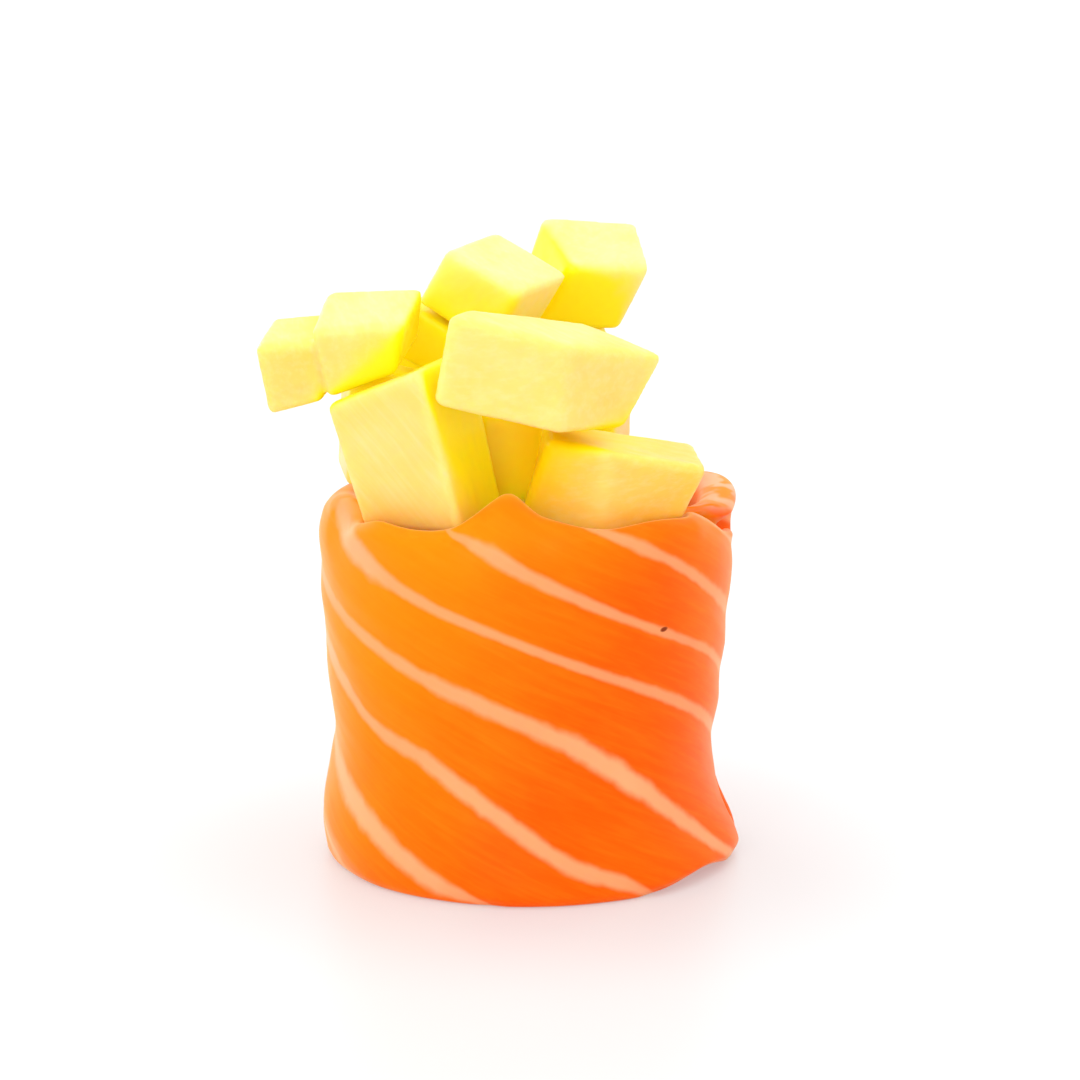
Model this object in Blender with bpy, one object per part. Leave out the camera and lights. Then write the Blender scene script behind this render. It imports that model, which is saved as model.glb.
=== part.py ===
"""Mango gunkan: diced mango piled on pressed rice, inside a strip of raw salmon.

The salmon strip is wound once round the rice and laps over its own start at the right.
Its rim is soft: the fruit presses it down, and between the two front dice it is pushed
up into a small tongue. The mango dice lean on the rim, on the rice and on each other.

Lengths are millimetres and angles are degrees, and a mesh is scaled to metres as it is
made. Angles run anticlockwise seen from above: 0 is the right side, 270 the front. The
piece stands on z = 0 with the axis of its wrap at the origin.
"""

import math
from dataclasses import dataclass

import bmesh
import bpy
from mathutils import Euler, Vector, noise
from mathutils.bvhtree import BVHTree

MM = 0.001
CLEARANCE = 0.3  # between pieces that touch

# ---- salmon strip ---------------------------------------------------------------
# Outer radius of the wrap at a few heights: (height, radius).
RIGHT_PROFILE = (
    (0.0, 18.5), (1.4, 18.9), (5.5, 17.1), (9.5, 16.5),
    (15.0, 17.1), (23.0, 17.8), (30.0, 18.3),
)
LEFT_PROFILE = (
    (0.0, 18.2), (3.6, 18.8), (7.8, 18.1), (12.0, 17.7),
    (18.0, 18.25), (24.0, 18.6), (30.0, 18.9),
)
FRONT_PROFILE = (
    (0.0, 18.9), (1.5, 19.1), (6.5, 18.3), (11.0, 17.9),
    (17.0, 18.1), (24.0, 18.4), (30.0, 18.7),
)

STRIP_START = -40.0  # the hidden inner end, under the lap
STRIP_END = 358.0  # the free outer end, at the right side
STRIP_STEP = 5.1
END_WAVE = 2.6  # the free end's cut edge is uneven by this many degrees
THICKNESS = 3.4
END_THICKNESS = 1.3
START_TAPER = 34.0  # turn over which the inner end grows to full thickness
END_TAPER = 34.0
LAP_RELEASE = 7.5  # turn in which the inner layer swells out past the outer end
LAP_RISE = 1.6  # height in which it does so above the outer end
END_CUT = 2.9  # the outer end's upper corner is cut away, this deep
END_CUT_START = 327.0
END_CUT_TURN = 27.0

RIM_HEIGHT = 32.5
RIM_ROUNDING = 1.5
FOOT_ROUNDING = 0.6
LEAN = 0.9  # how far the rim leans in
LEAN_DEPTH = 5.0  # below the rim, where the lean begins


@dataclass(frozen=True)
class Swell:
    """A smooth local change round the wrap: its middle, half width and amount."""

    middle: float
    half_width: float
    amount: float

    def at(self, turn):
        away = abs(turn - self.middle) / self.half_width
        return self.amount * smooth(1.0 - away)


RIM_SWELLS = (
    Swell(-40.0, 24.0, -1.6),  # the hidden start, under the front right die
    Swell(12.0, 34.0, 0.9),  # the lobe that stands up behind the lap
    Swell(192.0, 16.0, 0.4),
    Swell(210.0, 15.0, -0.9),  # pressed down by the front left die
    Swell(236.0, 16.0, -0.3),
    Swell(261.0, 14.0, 1.6),  # the tongue between the two front dice
    Swell(268.0, 27.0, 1.1),
    Swell(308.0, 16.0, 0.3),
)
TONGUE_LEAN = Swell(263.0, 16.0, 2.6)
LOBE_LEAN = Swell(8.0, 42.0, -1.3)
END_LEAN = Swell(356.0, 30.0, -0.9)
PRESSES = (Swell(232.0, 34.0, 1.0), Swell(304.0, 34.0, 1.0))  # where a die sits on the rim
PRESS_DEPTH = 1.9
PRESS_SQUEEZE = 1.1
PRESS_REACH = 6.0
FOOT_LIFT = Swell(326.0, 26.0, 1.2)  # the lower edge stands off the board here


@dataclass(frozen=True)
class FatLine:
    """A line of fat across the strip: its height at the front, its fall per millimetre
    of the way round to the right, how that fall changes, and its width."""

    height: float
    fall: float
    bend: float
    width: float

    def height_at(self, along):
        return self.height - self.fall * along + self.bend * along * along


FRONT_FAT = (
    FatLine(41.4, 0.48, 0.0, 0.9),
    FatLine(35.4, 0.48, -0.002, 0.9),
    FatLine(29.2, 0.49, 0.0015, 1.1),
    FatLine(22.7, 0.44, -0.001, 1.1),
    FatLine(15.2, 0.51, -0.005, 1.6),
    FatLine(6.1, 0.54, 0.0, 1.3),
    FatLine(-1.5, 0.38, 0.0, 1.2),
)
FAT_SPACING = 7.2  # between the lines that the front doesn't show
FAT_FALL = 0.47
HIDDEN_FAT = 9
FURROW = 0.22  # the flesh swells a little between the lines
FLESH_WAVE = 0.12
FLESH_WAVE_LENGTH = 9.0
MEAN_RADIUS = 18.0

OUTER_ROWS = 22
INNER_ROWS = 12
RIM_POINTS = 4

# ---- rice -------------------------------------------------------------------------
RICE_TOP = 32.3
RICE_FALL = 1.7  # from the middle of the top to its edge
RICE_EDGE_ROUNDING = 1.2
RICE_TURNS = 40
GRAIN_LENGTH = 5.8
GRAIN_WIDTH = 2.7
GRAIN_SIDES = 6
GRAIN_COUNT = 84
GRAIN_SPREAD = 13.2  # the radius over which grains lie on the top
GRAIN_RAISE = 0.35
GOLDEN_ANGLE = 137.508
GRAIN_CLEARANCE = 0.5

# ---- mango ------------------------------------------------------------------------
EDGE_ROUNDING = 0.7
KNIFE_WAVE = 0.22
KNIFE_WAVE_LENGTH = 6.0


def block(width, depth):
    """The corners of a level rectangle, from its front left."""
    half, deep = width / 2, depth / 2
    return ((-half, -deep, 0.0), (half, -deep, 0.0), (half, deep, 0.0), (-half, deep, 0.0))


@dataclass(frozen=True)
class Die:
    """One cut piece of mango. The corners of its top and foot are (x, y, rise), where
    rise is how far the corner lies above the level of that face."""

    top: tuple
    foot: tuple
    height: float
    centre: tuple
    turn: tuple  # about x, then y, then z


FRONT_LEFT = Die(
    ((-5.9, -4.2, -0.5), (5.0, -4.2, 2.5), (4.8, 4.2, 1.5), (-5.3, 4.2, -2.0)),
    ((-5.6, -3.8, -0.3), (5.2, -4.5, -0.8), (4.6, 3.6, -1.5), (-5.3, 4.0, -1.5)),
    12.0, (-9.3, -9.6, 38.6), (14, -7, -33),
)
FRONT_RIGHT = Die(
    ((-6.0, -1.7, -0.2), (-0.9, -5.2, 0.7), (8.3, -2.3, -0.5), (7.1, 4.2, 0.2), (-6.2, 4.4, 0.2)),
    ((-7.3, 0.1, -1.6), (-0.4, -4.3, -1.5), (6.6, -1.5, 0.4), (5.5, 4.2, 0.2), (-6.6, 4.2, -1.5)),
    6.2, (6.9, -9.8, 35.7), (3, 8, 0),
)
MIDDLE = Die(
    ((-9.1, -4.5, 0.0), (1.1, -4.1, 0.0), (10.4, 2.0, 0.1), (2.5, 4.6, 0.0), (-7.5, -1.2, 0.2)),
    ((-8.3, -5.2, -0.1), (3.0, -4.9, 0.3), (8.7, 1.0, 0.7), (2.9, 4.2, -1.7), (-6.2, -2.0, -0.2)),
    7.8, (0.9, -12.0, 45.4), (7, 16, 0),
)
LEFT = Die(
    ((-4.3, -4.0, 0.0), (4.2, -4.0, 0.0), (4.5, 4.9, 0.0), (-4.2, 4.9, 0.0)),
    ((-3.5, -3.9, -0.8), (2.8, -4.0, 1.2), (3.6, 4.4, 1.4), (-4.1, 4.4, 0.4)),
    6.0, (-13.7, -7.7, 47.2), (14, -4, -8),
)
LEFT_TIP = Die(
    ((-2.6, -3.6, 0.0), (2.8, -3.6, 0.0), (3.0, 3.8, 0.0), (-2.7, 3.8, 0.0)),
    ((-2.4, -3.6, -0.2), (2.9, -3.5, 0.7), (2.8, 3.8, 0.5), (-2.8, 3.8, -0.2)),
    6.4, (-20.0, -6.1, 45.0), (12, -6, -12),
)
UPPER = Die(
    ((-4.2, -4.35, 0.0), (4.2, -4.35, 0.0), (4.2, 4.35, 0.0), (-4.2, 4.35, 0.0)),
    ((-5.4, -4.3, 0.0), (3.0, -4.3, 0.0), (3.0, 4.3, 0.0), (-5.3, 4.3, 0.0)),
    6.3, (-2.8, 0.5, 50.3), (5, 24, -29),
)
TOP = Die(
    ((-3.7, -4.1, 0.0), (4.1, -4.1, 0.0), (4.9, 4.1, 0.0), (-4.5, 4.1, 0.1)),
    ((-5.6, -4.1, -0.9), (2.3, -4.1, -0.9), (2.6, 4.0, -0.9), (-5.2, 4.0, -0.9)),
    6.0, (5.6, 8.4, 51.1), (25, 4, 17),
)
INNER = Die(block(6.0, 6.0), block(6.2, 6.2), 8.2, (-2.2, -2.6, 36.7), (2, 3, 12))
BEHIND_LEFT = Die(
    ((-3.9, -4.0, 2.4), (4.7, -4.0, -0.3), (4.7, 4.0, -0.7), (-4.2, 4.0, 1.2)),
    ((-4.4, -4.1, 0.0), (4.8, -4.1, 0.0), (4.8, 4.1, 0.0), (-4.6, 4.1, 0.0)),
    9.2, (-12.2, 1.7, 38.2), (4, 0, 6),
)
RIGHT = Die(block(8.0, 6.8), block(8.2, 7.0), 4.1, (7.0, 1.5, 34.4), (-2, 2, -14))
CENTRE = Die(
    ((-6.0, -3.4, 0.0), (4.5, -3.8, 0.0), (4.5, 3.8, 0.0), (-4.9, 3.8, 0.0)),
    ((-6.0, -3.4, -0.4), (4.4, -3.8, 0.4), (4.4, 3.8, 0.4), (-4.9, 3.6, 0.0)),
    5.0, (-5.9, 2.1, 45.2), (5, 24, -29),
)
BACK_LEFT = Die(block(8.0, 7.2), block(8.2, 7.4), 7.4, (-4.5, 10.0, 36.0), (-4, 2, 24))
BACK_RIGHT = Die(block(6.4, 6.6), block(6.6, 6.8), 7.0, (5.2, 9.7, 35.6), (-5, 3, -18))
BACK_MIDDLE = Die(block(9.2, 6.8), block(9.4, 7.0), 6.0, (-7.4, 11.5, 43.4), (-3, 4, -12))
BACK_UPPER = Die(
    block(6.4, 7.4),
    ((-3.3, -3.7, 1.3), (3.2, -3.7, 1.3), (3.2, 3.6, -1.9), (-3.3, 3.6, -1.9)),
    7.6, (2.8, 10.9, 43.7), (25, 4, 17),
)

DICE = {
    "mango_front_left": (FRONT_LEFT,),
    "mango_front_right": (FRONT_RIGHT,),
    "mango_middle": (MIDDLE,),
    "mango_left": (LEFT, LEFT_TIP),  # cut part of the way through, so it has a notch
    "mango_upper": (UPPER,),
    "mango_top": (TOP,),
    "mango_inner": (INNER,),
    "mango_behind_left": (BEHIND_LEFT,),
    "mango_right": (RIGHT,),
    "mango_centre": (CENTRE,),
    "mango_back_left": (BACK_LEFT,),
    "mango_back_right": (BACK_RIGHT,),
    "mango_back_middle": (BACK_MIDDLE,),
    "mango_back_upper": (BACK_UPPER,),
}


# ---- small tools --------------------------------------------------------------------
def smooth(share):
    """Ease from 0 to 1, and hold there."""
    share = min(max(share, 0.0), 1.0)
    return share * share * (3.0 - 2.0 * share)


def along_profile(profile, height):
    """The radius of a profile at a height, on a smooth curve through its points."""
    heights = [point[0] for point in profile]
    radii = [point[1] for point in profile]
    height = min(max(height, heights[0]), heights[-1])
    i = max(k for k in range(len(heights) - 1) if heights[k] <= height)
    slopes = []
    for k in (i, i + 1):
        low, high = max(k - 1, 0), min(k + 1, len(radii) - 1)
        slopes.append((radii[high] - radii[low]) / (heights[high] - heights[low]))
    run = heights[i + 1] - heights[i]
    t = (height - heights[i]) / run
    return (
        radii[i] * (1 + 2 * t) * (1 - t) ** 2
        + slopes[0] * run * t * (1 - t) ** 2
        + radii[i + 1] * t * t * (3 - 2 * t)
        + slopes[1] * run * t * t * (t - 1)
    )


def wave(x, y, z, length, seed=0.0):
    """Smooth noise from -1 to 1 with about this wave length."""
    return noise.noise(Vector((x / length + seed, y / length - seed, z / length + 2 * seed)))


def material(name, colour, roughness):
    made = bpy.data.materials.new(name)
    made.use_nodes = True
    shader = made.node_tree.nodes["Principled BSDF"]
    shader.inputs["Base Color"].default_value = (*colour, 1.0)
    shader.inputs["Roughness"].default_value = roughness
    made.diffuse_color = (*colour, 1.0)
    return made


def new_object(name, mesh, finish):
    """Scale a bmesh to metres and put it in the scene as a smooth shaded object."""
    bmesh.ops.recalc_face_normals(mesh, faces=mesh.faces)
    bmesh.ops.scale(mesh, vec=(MM, MM, MM), verts=mesh.verts)
    data = bpy.data.meshes.new(name)
    mesh.to_mesh(data)
    mesh.free()
    data.materials.append(finish)
    data.shade_smooth()
    data.set_sharp_from_angle(angle=math.radians(40))
    made = bpy.data.objects.new(name, data)
    bpy.context.scene.collection.objects.link(made)
    return made


def fuse(base, pieces, solver):
    """Join the pieces to the base in one Boolean union, and remove them."""
    group = bpy.data.collections.new(base.name + "_pieces")
    bpy.context.scene.collection.children.link(group)
    for piece in pieces:
        bpy.context.scene.collection.objects.unlink(piece)
        group.objects.link(piece)
    union = base.modifiers.new("union", "BOOLEAN")
    union.operation = "UNION"
    union.operand_type = "COLLECTION"
    union.collection = group
    union.solver = solver
    graph = bpy.context.evaluated_depsgraph_get()
    joined = bpy.data.meshes.new_from_object(base.evaluated_get(graph))
    base.modifiers.remove(union)
    base.data = joined
    for piece in pieces:
        bpy.data.objects.remove(piece)
    bpy.data.collections.remove(group)


# ---- salmon -----------------------------------------------------------------------
def wrap_radius(turn, height):
    """Outer radius of the wrap, before the rim leans in."""
    across = math.cos(math.radians(turn))
    side = along_profile(RIGHT_PROFILE if across > 0 else LEFT_PROFILE, height)
    face = along_profile(FRONT_PROFILE, height)
    return side * across * across + face * (1 - across * across)


def thickness(turn):
    """Thickness of the strip, which thins towards both ends."""
    grown = smooth((turn - STRIP_START) / START_TAPER)
    left = smooth((STRIP_END - turn) / END_TAPER)
    return END_THICKNESS + (THICKNESS - END_THICKNESS) * min(grown, left)


def rim_height(turn):
    swells = [swell.at(turn) for swell in RIM_SWELLS]
    return RIM_HEIGHT + sum(swells) - END_CUT * smooth((turn - END_CUT_START) / END_CUT_TURN)


def pressed(turn):
    """How much a die presses on the rim: 1 fully, 0 not at all."""
    return max(smooth(2.0 * swell.at(turn)) for swell in PRESSES)


def foot_height(turn):
    return FOOT_LIFT.at(turn)


def rim_lean(turn, height):
    """How far the surface leans in at this height, were the strip a single layer."""
    local = sum(lean.at(turn) for lean in (TONGUE_LEAN, LOBE_LEAN, END_LEAN))
    amount = LEAN * (1.0 - pressed(turn)) + local
    up = (height - rim_height(turn) + LEAN_DEPTH) / LEAN_DEPTH
    return amount * smooth(up) * max(up, 0.0)


def inset(turn, height):
    """How far the strip's outer face lies inside the wrap's profile. Where the strip laps
    itself the inner layer follows the outer one, and lies a thickness deeper. Past the
    outer end, and above its cut corner, it swells out again."""
    over = min(turn + 360.0, STRIP_END)
    beyond = smooth((turn + 360.0 - STRIP_END - 0.5) / LAP_RELEASE)
    above = smooth((height - rim_height(over) - 0.2) / LAP_RISE)
    free = max(beyond, above)
    under = rim_lean(over, height) + thickness(over) + CLEARANCE
    return free * rim_lean(turn, height) + (1.0 - free) * under


def fat_lines():
    """The lines the front shows, and more like them for the rest of the way round."""
    lowest = min(line.height for line in FRONT_FAT)
    hidden = [
        FatLine(lowest - FAT_SPACING * step, FAT_FALL, 0.0, 1.2)
        for step in range(1, HIDDEN_FAT + 1)
    ]
    return (*FRONT_FAT, *hidden)


def furrow(turn, height):
    """Depth of the shallow furrow at the nearest line of fat."""
    along = math.radians(turn - 270.0) * MEAN_RADIUS
    nearest = min(abs(height - line.height_at(along)) / line.width for line in fat_lines())
    return FURROW * math.exp(-0.5 * nearest * nearest)


def outer_surface(turn, height):
    """Radius of the strip's outer face."""
    x = MEAN_RADIUS * math.cos(math.radians(turn))
    y = MEAN_RADIUS * math.sin(math.radians(turn))
    swell = FLESH_WAVE * wave(x, y, height, FLESH_WAVE_LENGTH)
    return wrap_radius(turn, height) - inset(turn, height) - furrow(turn, height) + swell


def inner_surface(turn, height):
    """Radius of the strip's inner face, which stays smooth."""
    radius = wrap_radius(turn, height) - inset(turn, height)
    near_rim = smooth(1.0 - (rim_height(turn) - height) / PRESS_REACH)
    return radius - thickness(turn) + PRESS_SQUEEZE * pressed(turn) * near_rim


def strip_section(turn):
    """The closed outline of the strip at one turn: (radius, height) points."""
    low, high = foot_height(turn), rim_height(turn)
    thin = thickness(turn) / THICKNESS
    foot = FOOT_ROUNDING * thin
    shoulder = high - RIM_ROUNDING * thin
    points = [(outer_surface(turn, low) - foot, low)]
    points.append((outer_surface(turn, low) - 0.3 * foot, low + 0.3 * foot))
    for row in range(OUTER_ROWS + 1):
        height = low + foot + (shoulder - low - foot) * row / OUTER_ROWS
        points.append((outer_surface(turn, height), height))
    outside = outer_surface(turn, shoulder)
    inside = inner_surface(turn, shoulder)
    crest = inset(turn, high) - inset(turn, shoulder)
    press = PRESS_DEPTH * pressed(turn) * thin
    for step in range(1, RIM_POINTS + 1):
        angle = math.pi * step / (RIM_POINTS + 1)
        across = (outside + inside) / 2 + (outside - inside) / 2 * math.cos(angle)
        rise = (high - shoulder) * math.sin(angle) - press * max(-math.cos(angle), 0.0)
        points.append((across - crest * math.sin(angle), shoulder + rise))
    drop = shoulder - press - low - 0.4 * foot
    for row in range(INNER_ROWS + 1):
        height = shoulder - press - drop * (row / INNER_ROWS) ** 0.95
        points.append((inner_surface(turn, height), height))
    points.append((inner_surface(turn, low) + 0.5 * foot, low))
    return points


def salmon_wrap(finish):
    """The strip, as sections joined one to the next and closed at both ends."""
    mesh = bmesh.new()
    steps = round((STRIP_END - STRIP_START) / STRIP_STEP)
    loops = []
    for step in range(steps + 1):
        turn = STRIP_START + (STRIP_END - STRIP_START) * step / steps
        near_end = smooth((turn - STRIP_END + END_TAPER) / END_TAPER)
        shoulder = rim_height(turn) - RIM_ROUNDING
        loop = []
        for radius, height in strip_section(turn):
            uneven = 0.5 + 0.5 * wave(3.0, 0.0, min(height, shoulder), 11.0)
            back = END_WAVE * uneven * near_end
            angle = math.radians(turn - back)
            loop.append(mesh.verts.new((radius * math.cos(angle), radius * math.sin(angle), height)))
        loops.append(loop)
    count = len(loops[0])
    for near, far in zip(loops, loops[1:]):
        for i in range(count):
            j = (i + 1) % count
            mesh.faces.new((near[j], far[j], far[i], near[i]))
    for end in (loops[0], loops[-1]):
        mesh.faces.new(end)
    return new_object("salmon_wrap", mesh, finish)


# ---- rice ---------------------------------------------------------------------------
def rice_radius(turn, height):
    """The rice fills the wrap, up to whichever layer of the strip lies innermost nearby."""
    around = [turn + lap + aside for lap in (-360, 0, 360) for aside in (-7, -3.5, 0, 3.5, 7)]
    layers = [near for near in around if STRIP_START <= near <= STRIP_END]
    levels = (max(height - 1.6, 0.0), height, height + 1.6)
    return min(inner_surface(near, level) for near in layers for level in levels) - CLEARANCE


def rice_core(finish):
    """Pressed rice: a flat foot, sides that follow the wrap, and a low domed top."""
    mesh = bmesh.new()
    edge = RICE_TOP - RICE_FALL
    heights = (0.0, 0.7, 2.6, 5.2, 8.2, 11.5, 15.0, 18.5, 22.0, 25.2, 27.6, edge - RICE_EDGE_ROUNDING)
    shares = (0.95, 0.7, 0.4)
    turns = [360.0 * k / RICE_TURNS for k in range(RICE_TURNS)]
    rings = []
    for height in heights:
        foot_inset = 0.6 if height == 0.0 else 0.0
        rings.append([(rice_radius(turn, height) - foot_inset, height) for turn in turns])
    for share in shares:
        height = RICE_TOP - RICE_FALL * share * share
        rings.append([(share * rice_radius(turn, edge), height) for turn in turns])
    loops = []
    for ring in rings:
        loop = []
        for turn, (radius, height) in zip(turns, ring):
            x = radius * math.cos(math.radians(turn))
            y = radius * math.sin(math.radians(turn))
            loop.append(mesh.verts.new((x, y, height)))
        loops.append(loop)
    for low, high in zip(loops, loops[1:]):
        for k in range(RICE_TURNS):
            n = (k + 1) % RICE_TURNS
            mesh.faces.new((low[k], low[n], high[n], high[k]))
    mesh.faces.new(loops[0])
    peak = mesh.verts.new((0.0, 0.0, RICE_TOP))
    for k in range(RICE_TURNS):
        mesh.faces.new((loops[-1][k], loops[-1][(k + 1) % RICE_TURNS], peak))
    return new_object("rice", mesh, finish)


def rice_grain(number, finish):
    """One plump short grain, lying on the top at its place in a spread spiral."""
    share = (number + 0.5) / GRAIN_COUNT
    radius = GRAIN_SPREAD * math.sqrt(share)
    turn = math.radians(GOLDEN_ANGLE * number)
    height = RICE_TOP - RICE_FALL * share + GRAIN_RAISE
    centre = Vector((radius * math.cos(turn), radius * math.sin(turn), height))
    tilt = 0.35 * wave(number, 0.0, 0.0, 0.73, 1.7)
    heading = math.pi * wave(0.0, number, 0.0, 0.61, 4.2) * 2
    place = Euler((0.0, tilt, heading)).to_matrix()
    mesh = bmesh.new()
    across = 0.5 * GRAIN_WIDTH
    loops = []
    for along in (-0.31, 0.31):
        ring = []
        for side in range(GRAIN_SIDES):
            angle = math.tau * (side + 0.5) / GRAIN_SIDES
            aside, up = across * math.cos(angle), 0.85 * across * math.sin(angle)
            point = Vector((along * GRAIN_LENGTH, aside, up))
            ring.append(mesh.verts.new(place @ point + centre))
        loops.append(ring)
    ends = [Vector((end * GRAIN_LENGTH / 2, 0.0, 0.0)) for end in (-1, 1)]
    tips = [mesh.verts.new(place @ end + centre) for end in ends]
    for side in range(GRAIN_SIDES):
        n = (side + 1) % GRAIN_SIDES
        mesh.faces.new((loops[0][side], loops[0][n], tips[0]))
        mesh.faces.new((loops[1][n], loops[1][side], tips[1]))
        mesh.faces.new((loops[0][n], loops[0][side], loops[1][side], loops[1][n]))
    return new_object(f"grain_{number}", mesh, finish)


def clear_of(piece, trees):
    """True where a piece neither crosses nor nearly touches any of the trees."""
    points = [piece.matrix_world @ vertex.co for vertex in piece.data.vertices]
    faces = [tuple(polygon.vertices) for polygon in piece.data.polygons]
    own = BVHTree.FromPolygons(points, faces)
    for tree in trees:
        if own.overlap(tree):
            return False
        if min(tree.find_nearest(point)[3] for point in points) < GRAIN_CLEARANCE * MM:
            return False
        nearest, normal, _, _ = tree.find_nearest(points[0])
        if (points[0] - nearest).dot(normal) < 0:
            return False
    return True


def rice(finish, neighbours):
    """The pressed core with the grains that show on its top fused to it."""
    graph = bpy.context.evaluated_depsgraph_get()
    trees = [BVHTree.FromObject(neighbour, graph) for neighbour in neighbours]
    core = rice_core(finish)
    kept = []
    for number in range(GRAIN_COUNT):
        grain = rice_grain(number, finish)
        if clear_of(grain, trees):
            kept.append(grain)
        else:
            bpy.data.objects.remove(grain)
    fuse(core, kept, "MANIFOLD")
    return core


# ---- mango --------------------------------------------------------------------------
def mango_die(name, die, finish):
    """A cut piece: a prism between its top and its foot, its faces a little uneven from
    the knife and its edges rounded."""
    place = Euler([math.radians(angle) for angle in die.turn], "XYZ").to_matrix()
    centre = Vector(die.centre)
    mesh = bmesh.new()
    top = [mesh.verts.new((x, y, rise + die.height / 2)) for x, y, rise in die.top]
    foot = [mesh.verts.new((x, y, rise - die.height / 2)) for x, y, rise in die.foot]
    mesh.faces.new(top)
    mesh.faces.new(foot[::-1])
    for k in range(len(top)):
        n = (k + 1) % len(top)
        mesh.faces.new((foot[k], foot[n], top[n], top[k]))
    edges = list(mesh.edges)
    rounding = {"offset": EDGE_ROUNDING, "segments": 3, "profile": 0.5}
    bmesh.ops.bevel(mesh, geom=edges, affect="EDGES", clamp_overlap=True, **rounding)
    flat = [face for face in mesh.faces if face.calc_area() > 12.0]
    bmesh.ops.poke(mesh, faces=flat)
    for vertex in mesh.verts:
        vertex.co = place @ vertex.co + centre
    mesh.normal_update()
    for vertex in mesh.verts:
        x, y, z = vertex.co
        vertex.co += vertex.normal * KNIFE_WAVE * wave(x, y, z, KNIFE_WAVE_LENGTH, len(name))
    return new_object(name, mesh, finish)


def mango_piece(name, dice, finish):
    """One piece of fruit, from one die or from two that a part cut leaves joined."""
    first = mango_die(name, dice[0], finish)
    others = [mango_die(f"{name}_{k}", die, finish) for k, die in enumerate(dice[1:], 1)]
    if others:
        fuse(first, others, "EXACT")
    return first


def main():
    for thing in list(bpy.data.objects):
        bpy.data.objects.remove(thing)
    flesh = material("salmon_flesh", (0.93, 0.20, 0.02), 0.35)
    fruit = material("mango_flesh", (0.95, 0.72, 0.12), 0.4)
    grain = material("cooked_rice", (0.90, 0.88, 0.80), 0.5)
    wrap = salmon_wrap(flesh)
    pieces = [mango_piece(name, dice, fruit) for name, dice in DICE.items()]
    rice(grain, [wrap, *pieces])


main()
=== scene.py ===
"""A mango gunkan on a light table: salmon strip, rice bed and a pile of mango dice.

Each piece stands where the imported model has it. Sizes are millimetres and angles are
degrees until a mesh is made, which is in metres. Angles run anticlockwise seen from
above: 0 is the right side, 270 the front.
"""

import logging
import math
from dataclasses import dataclass
from enum import Enum

import bmesh
import bpy
import numpy as np
from bpy.types import ID, Material, Mesh, Node, NodeSocket, NodeTree, Object
from mathutils import Euler, Matrix, Vector, noise
from mathutils.bvhtree import BVHTree
from numpy import ndarray as Array


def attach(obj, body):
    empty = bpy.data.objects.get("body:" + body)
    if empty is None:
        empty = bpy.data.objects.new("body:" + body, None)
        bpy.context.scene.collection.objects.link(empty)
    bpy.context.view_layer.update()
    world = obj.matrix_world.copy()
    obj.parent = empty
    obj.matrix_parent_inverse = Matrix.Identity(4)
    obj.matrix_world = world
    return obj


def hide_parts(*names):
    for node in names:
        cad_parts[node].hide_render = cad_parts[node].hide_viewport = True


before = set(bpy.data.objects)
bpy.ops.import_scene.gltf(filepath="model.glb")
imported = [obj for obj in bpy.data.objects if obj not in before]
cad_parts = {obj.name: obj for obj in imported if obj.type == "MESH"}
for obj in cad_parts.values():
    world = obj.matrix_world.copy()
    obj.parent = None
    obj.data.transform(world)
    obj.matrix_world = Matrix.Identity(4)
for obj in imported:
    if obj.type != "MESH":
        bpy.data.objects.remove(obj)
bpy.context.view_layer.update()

MM = 0.001
GOLDEN_ANGLE = math.radians(137.508)
BODY = "root"
LOG = logging.getLogger("gunkan")


class Slot(Enum):
    """The record's material slots."""

    SALMON = "salmon"
    MANGO = "mango"
    RICE = "rice"


# ---- small tools ------------------------------------------------------------------
def linear(code: str) -> tuple[float, ...]:
    """Turn an sRGB hex code into a linear colour.

    Args:
        code: Six hex digits after a hash.

    Returns:
        Red, green, blue and a full alpha.
    """
    parts = [int(code[i : i + 2], 16) / 255 for i in (1, 3, 5)]
    flat = [p / 12.92 if p <= 0.04045 else ((p + 0.055) / 1.055) ** 2.4 for p in parts]
    return (*flat, 1.0)


def add(tree: NodeTree, kind: str, inputs: dict | None = None, **settings: object) -> Node:
    """Add a node to a tree.

    Args:
        tree: The tree it goes in.
        kind: The node's type name.
        inputs: Socket name or number to a value, to the socket that feeds it, or to the
            node whose first output does.
        settings: The node's own properties.

    Returns:
        The new node.
    """
    made = tree.nodes.new(kind)
    for name, value in settings.items():
        setattr(made, name, value)
    for socket, value in (inputs or {}).items():
        if isinstance(value, Node):
            value = value.outputs[0]
        if isinstance(value, NodeSocket):
            tree.links.new(value, made.inputs[socket])
        else:
            made.inputs[socket].default_value = value
    return made


def new_material(name: str) -> tuple[Material, NodeTree]:
    """Make an empty node material.

    Args:
        name: The finish's name.

    Returns:
        The material and its tree.
    """
    made = bpy.data.materials.new(name)
    made.use_nodes = True
    made.node_tree.nodes.clear()
    return made, made.node_tree


def ease(share: Array) -> Array:
    """Rise smoothly from 0 to 1 as the share does, and hold outside."""
    share = np.clip(share, 0.0, 1.0)
    return share * share * (3.0 - 2.0 * share)


def waves(points: Array, length: float, seed: float = 0.0) -> Array:
    """Smooth noise over many points.

    Args:
        points: One row of three coordinates for each point.
        length: The noise's wave length, in the points' unit.
        seed: Moves the pattern.

    Returns:
        One value from -1 to 1 for each point.
    """
    moved = points / length + np.array((seed, -seed, 2 * seed))
    return np.array([noise.noise(row) for row in moved.tolist()])


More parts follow.
